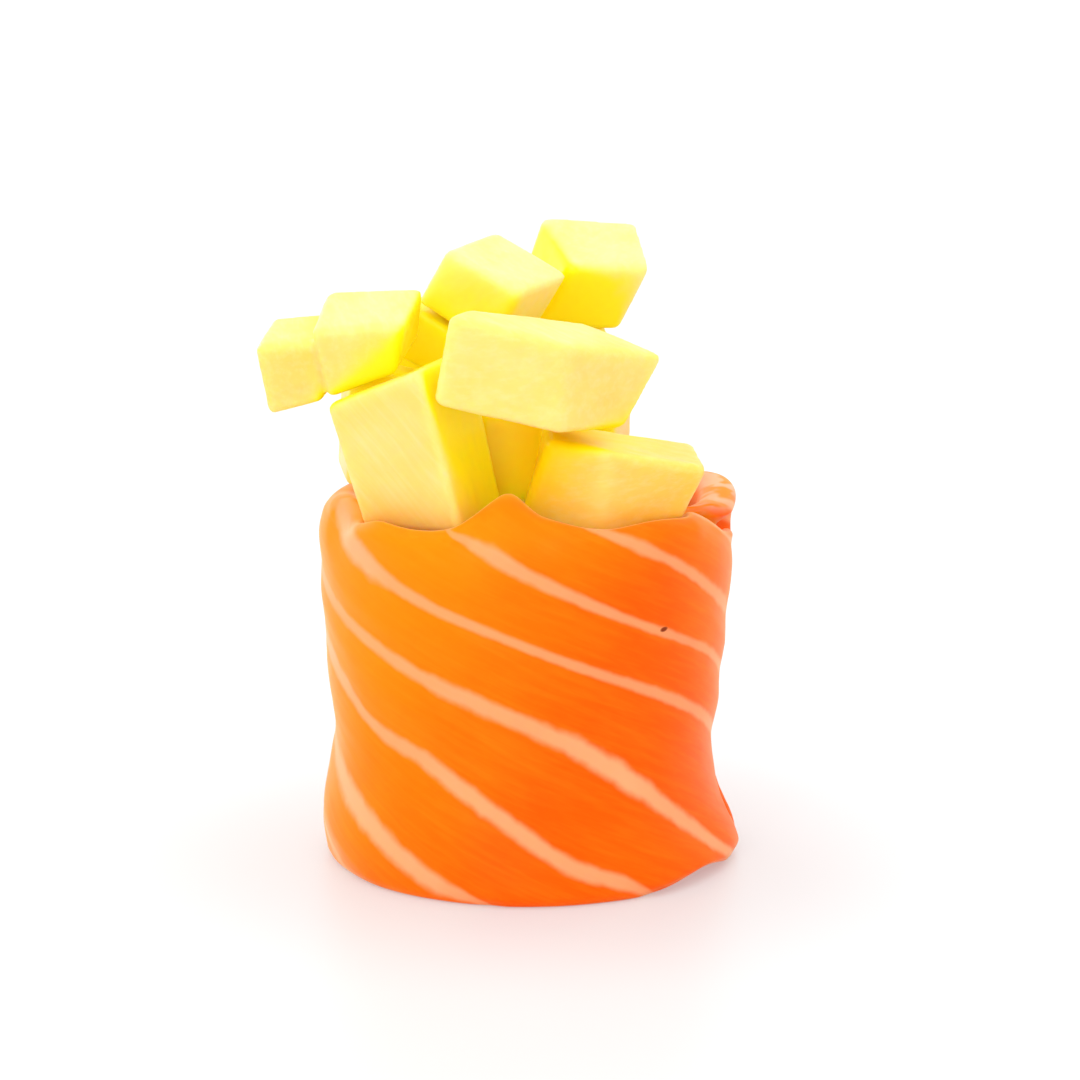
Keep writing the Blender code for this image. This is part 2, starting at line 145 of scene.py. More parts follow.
def spread(values: Array, pairs: Array, rounds: int) -> Array:
    """Smooth values over a mesh, each towards the mean of its neighbours.

    Args:
        values: One value for each point.
        pairs: Two point numbers for each edge.
        rounds: How many times to do it.

    Returns:
        The smoothed values.
    """
    first, second = pairs.T
    count = np.bincount(pairs.ravel(), minlength=len(values))
    for _ in range(rounds):
        total = np.bincount(first, values[second], len(values))
        total += np.bincount(second, values[first], len(values))
        values = 0.5 * values + 0.5 * total / count
    return values


def surface_of(*pieces: Object) -> BVHTree:
    """Gather the faces of some pieces, to measure against.

    Args:
        pieces: The pieces.

    Returns:
        All their faces together.
    """
    points, faces = [], []
    for piece in pieces:
        start = len(points)
        points.extend(vertex.co.copy() for vertex in piece.data.vertices)
        faces.extend([start + k for k in face.vertices] for face in piece.data.polygons)
    return BVHTree.FromPolygons(points, faces)


def tube(name: str, sections: Array) -> Mesh:
    """Join closed sections one to the next, and close both ends.

    Args:
        name: The mesh's name.
        sections: Sections by points by three coordinates, in millimetres.

    Returns:
        The closed mesh, in metres, with its faces outwards.
    """
    index = np.arange(sections.shape[0] * sections.shape[1]).reshape(sections.shape[:2])
    nxt = np.roll(index, -1, axis=1)
    quads = np.stack([nxt[:-1], nxt[1:], index[1:], index[:-1]], -1).reshape(-1, 4)
    faces = [*quads.tolist(), index[0].tolist(), index[-1].tolist()[::-1]]
    mesh = bpy.data.meshes.new(name)
    mesh.from_pydata((sections.reshape(-1, 3) * MM).tolist(), [], faces)
    shape = bmesh.new()
    shape.from_mesh(mesh)
    bmesh.ops.recalc_face_normals(shape, faces=shape.faces)
    shape.to_mesh(mesh)
    shape.free()
    return mesh


def link(name: str, data: ID) -> Object:
    """Put an object in the scene.

    Args:
        name: The object's name.
        data: Its mesh, light or camera.

    Returns:
        The object, at the origin.
    """
    made = bpy.data.objects.new(name, data)
    bpy.context.scene.collection.objects.link(made)
    return made


def new_object(name: str, mesh: Mesh, material: Material) -> Object:
    """Put a mesh in the scene, smooth shaded, with one material.

    Args:
        name: The object's name.
        mesh: Its mesh, in metres.
        material: Its finish.

    Returns:
        The object, at the origin.
    """
    mesh.materials.clear()
    mesh.materials.append(material)
    mesh.shade_smooth()
    return link(name, mesh)


def set_attribute(mesh: Mesh, name: str, values: Array) -> None:
    """Store one number, or one vector, for each point of a mesh.

    Args:
        mesh: The mesh.
        name: The attribute's name.
        values: One row for each point.
    """
    vector = values.ndim == 2
    made = mesh.attributes.new(name, "FLOAT_VECTOR" if vector else "FLOAT", "POINT")
    made.data.foreach_set("vector" if vector else "value", values.astype(np.float32).ravel())


def place(piece: Object, node: str, slot: Slot) -> None:
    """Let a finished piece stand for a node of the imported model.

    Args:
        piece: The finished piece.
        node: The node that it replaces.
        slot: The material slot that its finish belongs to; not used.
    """
    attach(piece, BODY)
    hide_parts(node)
    triangles = sum(len(face.vertices) - 2 for face in piece.data.polygons)
    LOG.info("%s stands for %s with %d triangles", piece.name, node, triangles)


@dataclass
class Shelter:
    """How much of each point's view is blocked nearby: the finishes paint shade by it,
    coloured like the surroundings, in place of light that bounces among them."""

    around: list[Object]
    rays: int = 18
    reach: float = 16.0
    lift: float = 0.15
    spin: float = 2.4
    softness: int = 15

    def mark(self, *pieces: tuple[Object, float], above: float = -1.0) -> None:
        """Store the share of its view that is blocked for each point of some pieces.

        Args:
            pieces: The pieces, each with how strongly shade is painted on it.
            above: The height under which nothing counts as blocked.
        """
        blockers = surface_of(*self.around)
        count = np.arange(self.rays)
        climb = np.sqrt(1.0 - (count + 0.5) / self.rays)
        angle = count * GOLDEN_ANGLE
        flat = np.sqrt(1.0 - climb**2)
        fan = np.stack([flat * np.cos(angle), flat * np.sin(angle), climb])
        for piece, strength in pieces:
            mesh = piece.data
            blocked = np.zeros(len(mesh.vertices))
            for number, vertex in enumerate(mesh.vertices):
                if vertex.co.z < above * MM:
                    continue
                start = vertex.co + vertex.normal * (self.lift * MM)
                turned = vertex.normal.to_track_quat("Z", "Y").to_matrix()
                spun = turned @ Matrix.Rotation(self.spin * number, 3, "Z")
                for way in (np.array(spun) @ fan).T:
                    if blockers.ray_cast(start, way, self.reach * MM)[0] is not None:
                        blocked[number] += 1.0 / self.rays
            pairs = np.array([edge.vertices[:] for edge in mesh.edges])
            set_attribute(mesh, "sheltered", strength * spread(blocked, pairs, self.softness))


# ---- finishes -----------------------------------------------------------------------
@dataclass(frozen=True)
class SalmonFlesh:
    """Raw salmon, sliced with a wet knife: dense, moist and slightly see-through, so its
    orange glows, while the lines of fat are paler, pinker and a little duller. Shade is
    painted into the orange: darker at the foot and right of the front, lighter at the rim,
    and a more saturated yellow-orange where nearby pieces block the view. The light pink of
    the cut rim is partly a painted grazing highlight."""

    flesh: str = "#ff8a04"
    # Painted shade: the next colour at the foot and right of the front, and the one after it where
    # nearby pieces block the view.
    painted_shade: str = "#ff5c01"
    inside: str = "#ffa800"
    fat: str = "#ffaa78"
    strand: str = "#ffa020"
    # Light pink of the cut layers on the rim, which also paints a grazing highlight there.
    cut: str = "#ffb08c"
    moist: str = "#ffd0ac"
    speck: str = "#8a3412"
    glow_mm: float = 2.2
    roughness: float = 0.42
    moisture: float = 0.62

    def material(self) -> Material:
        """Build the finish.

        Returns:
            The material. It reads the strip's own attributes.
        """
        made, tree = new_material("raw_salmon_sliced")
        strip = add(tree, "ShaderNodeAttribute", attribute_name="strip").outputs["Vector"]
        fat, cut, painted_shade, richness, sheltered = (
            add(tree, "ShaderNodeAttribute", attribute_name=name).outputs["Fac"]
            for name in ("fat", "cut", "painted_shade", "richness", "sheltered")
        )
        # Muscle fibres run with the fat lines, 0.5 mm apart and several millimetres long.
        lie = add(tree, "ShaderNodeMapping", {
            "Vector": strip, "Rotation": (0, 0, -0.43), "Scale": (6.0, 0.55, 1.0),
        }, vector_type="TEXTURE")
        fibre = add(tree, "ShaderNodeTexNoise", {
            "Vector": lie, "Scale": 1.0, "Detail": 4.0, "Roughness": 0.6,
        })
        streak = add(tree, "ShaderNodeMapRange", {
            "Value": fibre, "From Min": 0.4, "From Max": 0.75, "To Max": 0.16,
        })
        # The orange drifts over about 6 mm, and the strip's painted shade is added
        # to the drift.
        cloud = add(tree, "ShaderNodeTexNoise", {"Vector": strip, "Scale": 0.16})
        tone = add(tree, "ShaderNodeMath", {0: cloud, 1: 0.4, 2: painted_shade}, operation="MULTIPLY_ADD")
        shade = add(tree, "ShaderNodeMapRange", {"Value": tone, "From Min": 0.2, "From Max": 1.2})
        # The edges of the fat waver over about 2 mm.
        ragged = add(tree, "ShaderNodeTexNoise", {"Vector": strip, "Scale": 0.55})
        wander = add(tree, "ShaderNodeMath", {0: ragged, 1: 0.4, 2: fat}, operation="MULTIPLY_ADD")
        line = add(tree, "ShaderNodeMapRange", {
            "Value": wander, "From Min": 0.96, "From Max": 0.42,
        }, interpolation_type="SMOOTHSTEP")
        rich = add(tree, "ShaderNodeMath", {0: line, 1: richness}, operation="MULTIPLY")
        # Painted shade where nearby pieces block the view, in a more saturated yellow-orange.
        shade_share = add(tree, "ShaderNodeMapRange", {
            "Value": sheltered, "From Min": 0.3, "From Max": 0.7,
        }, interpolation_type="SMOOTHSTEP")
        # The cut edge shows the layers of flesh and fat from the side, 1 to 3 mm apart, in a
        # light pink that also paints a grazing highlight on the rim.
        layers = add(tree, "ShaderNodeTexNoise", {
            "Vector": lie, "Scale": 0.6, "Detail": 1.0, "Distortion": 0.15,
        })
        band = add(tree, "ShaderNodeMapRange", {
            "Value": layers, "From Min": 0.4, "From Max": 0.58,
        }, interpolation_type="SMOOTHSTEP")
        cut_layers_and_highlight = add(tree, "ShaderNodeMix", {
            0: band, 6: linear(self.flesh), 7: linear(self.cut),
        }, data_type="RGBA")
        # One dark speck, 0.8 mm long, lies on the second line of fat.
        round_speck = add(tree, "ShaderNodeMapping", {
            "Vector": strip, "Location": (12.6, 23.3, 0), "Rotation": (0, 0, 0.1),
            "Scale": (0.42, 0.22, 100.0),
        }, vector_type="TEXTURE")
        away = add(tree, "ShaderNodeVectorMath", {0: round_speck}, operation="LENGTH")
        dot = add(tree, "ShaderNodeMapRange", {
            "Value": away.outputs["Value"], "From Min": 1.2, "From Max": 0.7,
        })
        colour = linear(self.flesh)
        for share, over in (
            (shade, linear(self.painted_shade)),
            (streak, linear(self.strand)),
            (rich, linear(self.fat)),
            (shade_share, linear(self.inside)),
            (cut, cut_layers_and_highlight.outputs[2]),
            (dot, linear(self.speck)),
        ):
            mixed = add(tree, "ShaderNodeMix", {0: share, 6: colour, 7: over}, data_type="RGBA")
            colour = mixed.outputs[2]
        wet = add(tree, "ShaderNodeMapRange", {
            "Value": ragged, "To Min": self.roughness - 0.08, "To Max": self.roughness + 0.12,
        })
        grain = add(tree, "ShaderNodeBump", {
            "Height": fibre, "Strength": 0.15, "Distance": 0.1 * MM,
        })
        shader = add(tree, "ShaderNodeBsdfPrincipled", {
            "Base Color": colour, "Roughness": wet, "Normal": grain, "IOR": 1.38,
            "Specular IOR Level": 0.05, "Sheen Weight": self.moisture, "Sheen Roughness": 0.35,
            "Sheen Tint": linear(self.moist), "Subsurface Weight": 0.45,
            "Subsurface Radius": (1.0, 0.32, 0.12), "Subsurface Scale": self.glow_mm * MM,
        })
        add(tree, "ShaderNodeOutputMaterial", {"Surface": shader})
        return made


@dataclass(frozen=True)
class MangoFlesh:
    """Ripe mango, peeled and cut into dice: juicy, finely fibrous and see-through for a few
    millimetres. Shade is painted in a strong warm yellow where the dice block each other's
    view, the salmon's bounced orange is painted beside it, and a slight highlight is
    painted on the edges."""

    flesh: str = "#ffe89a"
    ripe: str = "#ffde7c"
    # Paler fibres, and a slight highlight painted on the edges.
    pale_strand_and_highlight: str = "#ffeab8"
    full: str = "#ffc03c"
    # The salmon's bounced orange, painted on the dice beside it.
    salmon_bounce: str = "#ffb23c"
    # Painted shade where the dice block each other's view: yellow on less ripe dice, amber on riper
    # ones.
    painted_shade: str = "#ffe60c"
    amber: str = "#ffcc00"
    glow_mm: float = 3.0
    roughness: float = 0.38

    def material(self) -> Material:
        """Build the finish.

        Returns:
            The material. It reads the dice's own attributes.
        """
        made, tree = new_material("ripe_mango_diced")
        fruit = add(tree, "ShaderNodeAttribute", attribute_name="fibre").outputs["Vector"]
        edge, sheltered, ripeness, near_salmon = (
            add(tree, "ShaderNodeAttribute", attribute_name=name).outputs["Fac"]
            for name in ("edge", "sheltered", "ripeness", "near_salmon")
        )
        # Fibres lie about 0.6 mm apart along the fruit, and fade in and out.
        lie = add(tree, "ShaderNodeMapping", {"Vector": fruit, "Scale": (0.14, 1.5, 1.5)})
        strands = add(tree, "ShaderNodeTexNoise", {
            "Vector": lie, "Scale": 1.0, "Detail": 4.0, "Roughness": 0.62,
        })
        streak = add(tree, "ShaderNodeMapRange", {
            "Value": strands, "From Min": 0.45, "From Max": 0.8, "To Max": 0.3,
        })
        # The yellow drifts over about 5 mm.
        cloud = add(tree, "ShaderNodeTexNoise", {"Vector": fruit, "Scale": 0.22})
        tone = add(tree, "ShaderNodeMapRange", {"Value": cloud, "From Min": 0.3, "From Max": 0.7})
        # A slight highlight painted along the edges.
        edge_highlight = add(tree, "ShaderNodeMath", {0: edge, 1: 0.08}, operation="MULTIPLY")
        # Painted shade where the dice block each other's view, in place of light that has
        # passed between them, and the salmon's bounced orange painted beside it.
        shade_share = add(tree, "ShaderNodeMapRange", {
            "Value": sheltered, "From Min": 0.02, "From Max": 0.38,
        }, interpolation_type="SMOOTHSTEP")
        riper = add(tree, "ShaderNodeMapRange", {"Value": ripeness, "From Min": 0.45})
        painted_shading = add(tree, "ShaderNodeMix", {
            0: riper, 6: linear(self.painted_shade), 7: linear(self.amber),
        }, data_type="RGBA")
        colour = linear(self.flesh)
        for share, over in (
            (tone, linear(self.ripe)),
            (ripeness, linear(self.full)),
            (streak, linear(self.pale_strand_and_highlight)),
            (edge_highlight, linear(self.pale_strand_and_highlight)),
            (shade_share, painted_shading.outputs[2]),
            (near_salmon, linear(self.salmon_bounce)),
        ):
            mixed = add(tree, "ShaderNodeMix", {0: share, 6: colour, 7: over}, data_type="RGBA")
            colour = mixed.outputs[2]
        juice = add(tree, "ShaderNodeMapRange", {
            "Value": cloud, "To Min": self.roughness - 0.12, "To Max": self.roughness + 0.12,
        })
        grain = add(tree, "ShaderNodeBump", {
            "Height": strands, "Strength": 0.2, "Distance": 0.1 * MM,
        })
        shader = add(tree, "ShaderNodeBsdfPrincipled", {
            "Base Color": colour, "Roughness": juice, "Normal": grain, "IOR": 1.38,
            "Subsurface Weight": 0.85, "Subsurface Radius": (1.0, 0.55, 0.1),
            "Subsurface Scale": self.glow_mm * MM,
        })
        add(tree, "ShaderNodeOutputMaterial", {"Surface": shader})
        return made


@dataclass(frozen=True)
class SteamedRice:
    """Steamed short grain rice, seasoned with vinegar: milky, faintly see-through and
    glossy with starch."""

    grain: str = "#faf8f0"
    shaded: str = "#f1eadb"
    patches_per_mm: float = 0.48
    glow_mm: float = 1.2
    roughness: float = 0.36

    def material(self) -> Material:
        """Build the finish.

        Returns:
            The material, on object coordinates.
        """
        made, tree = new_material("steamed_rice")
        here = add(tree, "ShaderNodeTexCoord")
        # Milky patches about 2 mm across, smaller than one grain.
        milky = add(tree, "ShaderNodeTexNoise", {
            "Vector": here.outputs["Object"], "Scale": self.patches_per_mm / MM,
            "Detail": 3.0, "Roughness": 0.55,
        })
        tone = add(tree, "ShaderNodeMix", {
            0: milky, 6: linear(self.grain), 7: linear(self.shaded),
        }, data_type="RGBA")
        skin = add(tree, "ShaderNodeBump", {
            "Height": milky, "Strength": 0.2, "Distance": 0.1 * MM,
        })
        shader = add(tree, "ShaderNodeBsdfPrincipled", {
            "Base Color": tone.outputs[2], "Roughness": self.roughness, "Normal": skin,
            "IOR": 1.4, "Subsurface Weight": 0.35, "Subsurface Radius": (1.0, 0.9, 0.7),
            "Subsurface Scale": self.glow_mm * MM,
        })
        add(tree, "ShaderNodeOutputMaterial", {"Surface": shader})
        return made


@dataclass(frozen=True)
class LightTable:
    """White acrylic sheet, polished and lit from below: it leaves hardly a shadow, and
    shows a weak, soft mirror image at the foot of what stands on it. A soft shadow is
    painted there by making its light a little dimmer, and it is even from a few
    centimetres out."""

    colour: str = "#aaaaaa"
    # Painted shadow: the sheet's light round the middle, and the distance out to which it stays
    # that low.
    painted_shadow_glow: float = 0.35
    lit: float = 0.43
    painted_shadow_mm: float = 22.0
    even_mm: float = 45.0
    roughness: float = 0.4

    def material(self) -> Material:
        """Build the finish.

        Returns:
            The material, on object coordinates.
        """
        made, tree = new_material("white_acrylic_lit_from_below")
        here = add(tree, "ShaderNodeTexCoord")
        # Painted shadow: the sheet's light is dimmer round the middle, where the piece stands.
        away = add(tree, "ShaderNodeVectorMath", {0: here.outputs["Object"]}, operation="LENGTH")
        glow = add(tree, "ShaderNodeMapRange", {
            "Value": away.outputs["Value"], "From Min": self.painted_shadow_mm * MM,
            "From Max": self.even_mm * MM, "To Min": self.painted_shadow_glow, "To Max": self.lit,
        }, interpolation_type="SMOOTHSTEP")
        shader = add(tree, "ShaderNodeBsdfPrincipled", {
            "Base Color": linear(self.colour), "Roughness": self.roughness, "IOR": 1.3,
            "Emission Color": linear("#ffffff"), "Emission Strength": glow,
        })
        add(tree, "ShaderNodeOutputMaterial", {"Surface": shader})
        return made


# ---- the salmon strip ---------------------------------------------------------------
@dataclass(frozen=True)
class Swell:
    """A smooth local change round the wrap: its middle, half width and amount."""

    middle: float
    half_width: float
    amount: float

    def at(self, turn: Array) -> Array:
        """The change at each turn."""
        return self.amount * ease(1.0 - np.abs(turn - self.middle) / self.half_width)


@dataclass(frozen=True)
class Curve:
    """A smooth curve through a few points, (place, value), that holds past its ends."""

    points: tuple[tuple[float, float], ...]

    def at(self, place: Array) -> Array:
        """The curve's value at each place."""
        places, values = np.array(self.points).T
        last = len(places) - 1
        below = np.maximum(np.arange(last + 1) - 1, 0)
        above = np.minimum(np.arange(last + 1) + 1, last)
        slopes = (values[above] - values[below]) / (places[above] - places[below])
        place = np.clip(place, places[0], places[-1])
        i = np.clip(np.searchsorted(places, place, side="right") - 1, 0, last - 1)
        run = places[i + 1] - places[i]
        t = (place - places[i]) / run
        return (
            values[i] * (1 + 2 * t) * (1 - t) ** 2
            + slopes[i] * run * t * (1 - t) ** 2
            + values[i + 1] * t * t * (3 - 2 * t)
            + slopes[i + 1] * run * t * t * (t - 1)
        )


@dataclass(frozen=True)
class FatLine:
    """A line of fat across the strip. Its path is (millimetres round from the front to
    the right, height), and its widths are (millimetres round, width). Past the path's
    ends it falls by a fixed share of the way round."""

    path: Curve
    widths: tuple[tuple[float, float], ...]
    fall: float = 0.47

    def distance(self, along: Array, height: Array) -> tuple[Array, Array]:
        """How far each point lies from the line.

        Args:
            along: Millimetres round from the front, to the right.
            height: Heights above the foot.

        Returns:
            The distance as a share of the line's width, and that width.
        """
        near = np.clip(along, self.path.points[0][0], self.path.points[-1][0])
        middle = self.path.at(near) - self.fall * (along - near)
        places, widths = np.array(self.widths).T
        width = np.interp(along, places, widths)
        return np.abs(height - middle) / width, width


@dataclass
class SalmonStrip:
    """The strip of salmon, wound once round and lapped at the right."""

    finish: SalmonFlesh
    start: float = -40.0
    end: float = 358.0
    right: Curve = Curve(
        (
            (0.0, 18.5), (1.4, 18.9), (5.5, 17.1), (9.5, 16.5),
            (15.0, 17.1), (23.0, 17.8), (30.0, 18.3),
        )
    )
    left: Curve = Curve(
        (
            (0.0, 18.2), (3.6, 18.8), (7.8, 18.1), (12.0, 17.7),
            (18.0, 18.25), (24.0, 18.6), (30.0, 18.9),
        )
    )
    front: Curve = Curve(
        (
            (0.0, 18.9), (1.5, 19.1), (6.5, 18.3), (11.0, 17.9),
            (17.0, 18.1), (24.0, 18.4), (30.0, 18.7),
        )
    )
    thick: float = 3.4
    end_thick: float = 1.3
    taper: float = 34.0
    clearance: float = 0.3
    lap_release: float = 7.5
    lap_rise: float = 1.6
    end_wave: float = 2.6
    end_wave_length: float = 11.0
    end_crown: float = 0.5
    middle_height: float = 16.0
    end_cut: float = 2.9
    end_cut_start: float = 327.0
    end_cut_turn: float = 27.0
    end_rounding: float = 1.9
    end_kept: float = 0.2
    end_turns: tuple[float, ...] = (0.6, 0.35, 0.15, 0.0)
    rim: float = 32.5
    rim_rounding: float = 1.5
    foot_rounding: float = 0.6
    rim_swells: tuple[Swell, ...] = (
        Swell(-40.0, 24.0, -1.6),
        Swell(12.0, 34.0, 0.9),
        Swell(192.0, 16.0, 0.4),
        Swell(210.0, 15.0, -0.9),
        Swell(236.0, 16.0, -0.3),
        Swell(261.0, 14.0, 1.6),
        Swell(268.0, 27.0, 1.1),
        Swell(308.0, 16.0, 0.3),
    )
    lean: float = 0.9
    lean_depth: float = 5.0
    leans: tuple[Swell, ...] = (
        Swell(263.0, 16.0, 2.6),
        Swell(8.0, 42.0, -1.3),
        Swell(356.0, 30.0, -0.9),
    )
    presses: tuple[Swell, ...] = (Swell(232.0, 34.0, 1.0), Swell(304.0, 34.0, 1.0))
    press_depth: float = 1.9
    press_squeeze: float = 1.1
    press_reach: float = 6.0
    foot_lift: Swell = Swell(326.0, 26.0, 1.2)
    # Where the rim shows the cut layers in light pink, partly a painted grazing highlight.
    cut_and_highlight_shown: tuple[Swell, ...] = (
        Swell(2.0, 44.0, 1.0), Swell(196.0, 24.0, 0.5), Swell(352.0, 20.0, 0.6)
    )
    mean_radius: float = 18.0
    furrow: float = 0.22
    flesh_wave: float = 0.12
    flesh_wave_length: float = 9.0
    fibre_relief: float = 0.03
    fibre_spacing: float = 0.9
    fibre_stretch: float = 0.12
    skin: float = 0.11
    fat_lines: tuple[FatLine, ...] = (
        FatLine(Curve(((-30, 55.0), (6, 38.5), (24, 29.8))), ((-30, 0.8), (24, 0.8))),
        FatLine(
            Curve(((5, 33.0), (8.5, 31.5), (12.8, 29.4), (19.5, 25.7), (24, 23.5))),
            ((4, 0.5), (7, 0.8), (9.5, 1.3), (12, 1.0), (17, 1.1), (24, 1.4), (60, 1.1)),
        ),
        FatLine(
            Curve(((-6, 32.0), (-3.4, 30.8), (1.2, 28.3), (7.3, 25.3), (13.2, 22.8), (20.8, 19.7))),
            ((-7, 0.3), (-4.7, 1.1), (-3, 1.6), (0, 1.3), (4, 1.1), (8, 0.9), (17, 0.8), (24, 1.1)),
        ),
        FatLine(
            Curve(((-22, 32.2), (-18.2, 30.4), (-14.1, 28.2), (-9.7, 26.3), (-3.5, 24.0),
                   (4.8, 20.7), (13.7, 17.0), (23.8, 12.5))),
            ((-40, 1.0), (-25, 0.2), (-23, 0.7), (-21.5, 1.8), (-18.5, 2.6), (-15, 2.2),
             (-12.5, 1.3), (-8, 0.95), (5, 0.85), (12, 1.05), (24, 1.2)),
        ),
        FatLine(
            Curve(((-24, 25.2), (-20.3, 23.6), (-14.5, 21.5), (-8.6, 19.1), (-2.3, 16.7),
                   (2.5, 14.6), (7.7, 11.4), (14.1, 6.9), (19.6, 3.1), (22, 1.6))),
            ((-40, 1.0), (-24, 1.5), (-19, 1.2), (-10, 1.3), (-6, 1.7), (-1, 1.5), (3, 1.9),
             (9, 2.3), (13, 1.9), (19, 1.7), (24, 1.0)),
        ),
        FatLine(
            Curve(((-24.4, 19.4), (-20.3, 17.1), (-15.3, 14.1), (-10.3, 12.4), (-6.1, 10.0),
                   (-1.1, 6.7), (3.5, 3.5), (8.4, 1.5), (12, -0.5))),
            ((-40, 1.0), (-25, 2.2), (-20, 1.8), (-17, 1.3), (-12, 1.4), (-8, 1.8), (0, 1.7),
             (4, 1.5), (8, 1.3), (11, 0.6)),
        ),
        FatLine(
            Curve(((-26, 10.5), (-22, 8.6), (-16.6, 6.1), (-12.7, 4.1), (-8.3, 1.8), (-4.6, 0.5),
                   (0, -1.5))),
            ((-40, 1.0), (-26, 1.8), (-20, 2.4), (-13, 2.0), (-8, 1.8), (-5, 0.9), (-2, 0.3)),
        ),
    )
    richness: tuple[tuple[float, float], ...] = ((0.3, 0.5), (0.9, 0.68), (1.6, 0.78), (2.4, 1.0))
    hidden_fat: float = -8.7
    hidden_spacing: float = 7.2
    hidden_width: float = 1.2
    hidden_lines: int = 9
    steps: int = 430
    outer_rows: int = 100
    inner_rows: int = 44
    rim_points: int = 18
    foot_points: int = 5
    under_points: int = 8

    def thickness(self, turn: Array) -> Array:
        """Thickness of the strip, which thins towards both ends."""
        grown = ease((turn - self.start) / self.taper)
        left = ease((self.end - turn) / self.taper)
        return self.end_thick + (self.thick - self.end_thick) * np.minimum(grown, left)

    def rim_height(self, turn: Array) -> Array:
        """Height of the rim, with the outer end's corner cut away."""
        cut = self.end_cut * ease((turn - self.end_cut_start) / self.end_cut_turn)
        return self.rim + sum(swell.at(turn) for swell in self.rim_swells) - cut

    def pressed(self, turn: Array) -> Array:
        """How much a die presses on the rim: 1 fully, 0 not at all."""
        first, second = (ease(2.0 * press.at(turn)) for press in self.presses)
        return np.maximum(first, second)

    def rim_lean(self, turn: Array, height: Array) -> Array:
        """How far the surface leans in, were the strip a single layer."""
        amount = self.lean * (1.0 - self.pressed(turn)) + sum(s.at(turn) for s in self.leans)
        up = (height - self.rim_height(turn) + self.lean_depth) / self.lean_depth
        return amount * ease(up) * np.maximum(up, 0.0)

    def inset(self, turn: Array, height: Array) -> Array:
        """How far the outer face lies inside the wrap's profile.

        Args:
            turn: Turns along the strip, which runs past a full round.
            height: Heights above the foot.

        Returns:
            The inset: a thickness more where the strip lies under its own outer end.
        """
        over = np.minimum(turn + 360.0, self.end)
        beyond = ease((turn + 360.0 - self.end - 0.5) / self.lap_release)
        above = ease((height - self.rim_height(over) - 0.2) / self.lap_rise)
        free = np.maximum(beyond, above)
        under = self.rim_lean(over, height) + self.thickness(over) + self.clearance
        return free * self.rim_lean(turn, height) + (1.0 - free) * under

    def profile(self, turn: Array, height: Array) -> Array:
        """Outer radius of the wrap, before anything leans in."""
        across = np.cos(np.radians(turn))
        side = np.where(across > 0, self.right.at(height), self.left.at(height))
        front = self.front.at(height)
        return side * across**2 + front * (1.0 - across**2)

    def fat(self, turn: Array, height: Array) -> tuple[Array, Array]:
        """Distance to the nearest line of fat, as a share of its width, and that width."""
        along = np.radians(turn - 270.0) * self.mean_radius
        ends = [self.hidden_fat - self.hidden_spacing * k for k in range(self.hidden_lines)]
        even = ((0, self.hidden_width), (1, self.hidden_width))
        more = [FatLine(Curve(((-1, end), (0, end))), even) for end in ends]
        nearest = np.full(np.broadcast(turn, height).shape, np.inf)
        width = nearest
        for line in (*self.fat_lines, *more):
            distance, across = line.distance(along, height)
            width = np.where(distance < nearest, across, width)
            nearest = np.minimum(nearest, distance)
        return nearest, width

    def outer(self, turn: Array, height: Array) -> Array:
        """Radius of the outer face, with its shallow furrows."""
        furrow = self.furrow * np.exp(-0.5 * self.fat(turn, height)[0] ** 2)
        return self.profile(turn, height) - self.inset(turn, height) - furrow

    def inner(self, turn: Array, height: Array) -> Array:
        """Radius of the inner face."""
        near_rim = ease(1.0 - (self.rim_height(turn) - height) / self.press_reach)
        squeezed = self.press_squeeze * self.pressed(turn) * near_rim
        radius = self.profile(turn, height) - self.inset(turn, height)
        return radius - self.thickness(turn) + squeezed

    def section(self, turn: Array) -> tuple[Array, Array, Array]:
        """The closed outline of the strip at each turn.

        Args:
            turn: A column of turns.

        Returns:
            Radii, heights and how much each point belongs to the rounded rim, with one
            row for each turn.
        """
        low, high = self.foot_lift.at(turn), self.rim_height(turn)
        thin = self.thickness(turn) / self.thick
        foot = self.foot_rounding * thin
        shoulder = high - self.rim_rounding * thin
        corner = np.linspace(0.0, math.pi / 2, self.foot_points, endpoint=False)[None, :]
        base = self.outer(turn, low)
        radii = [base - foot + foot * np.sin(corner)]
        heights = [low + foot - foot * np.cos(corner)]
        rows = np.linspace(0.0, 1.0, self.outer_rows)[None, :]
        level = low + foot + (shoulder - low - foot) * rows
        radii.append(self.outer(turn, level))
        heights.append(level)
        outside, inside = self.outer(turn, shoulder), self.inner(turn, shoulder)
        crest = self.inset(turn, high) - self.inset(turn, shoulder)
        press = self.press_depth * self.pressed(turn) * thin
        angle = math.pi * np.arange(1, self.rim_points + 1)[None, :] / (self.rim_points + 1)
        across = (outside + inside) / 2 + (outside - inside) / 2 * np.cos(angle)
        rise = (high - shoulder) * np.sin(angle) - press * np.maximum(-np.cos(angle), 0.0)
        radii.append(across - crest * np.sin(angle))
        heights.append(shoulder + rise)
        rows = np.linspace(0.0, 1.0, self.inner_rows)[None, :]
        level = shoulder - press - (shoulder - press - low - 0.4 * foot) * rows
        radii.append(self.inner(turn, level))
        heights.append(level)
        under = np.linspace(0.0, 1.0, self.under_points)[None, :-1]
        first = self.inner(turn, low) + 0.5 * foot
        radii.append(first + (base - foot - first) * under)
        heights.append(low + 0.0 * under)
        rim = [np.zeros_like(part) for part in radii]
        rim[2] = np.sin(angle) + 0.0 * across
        return np.hstack(radii), np.hstack(heights), np.hstack(rim)

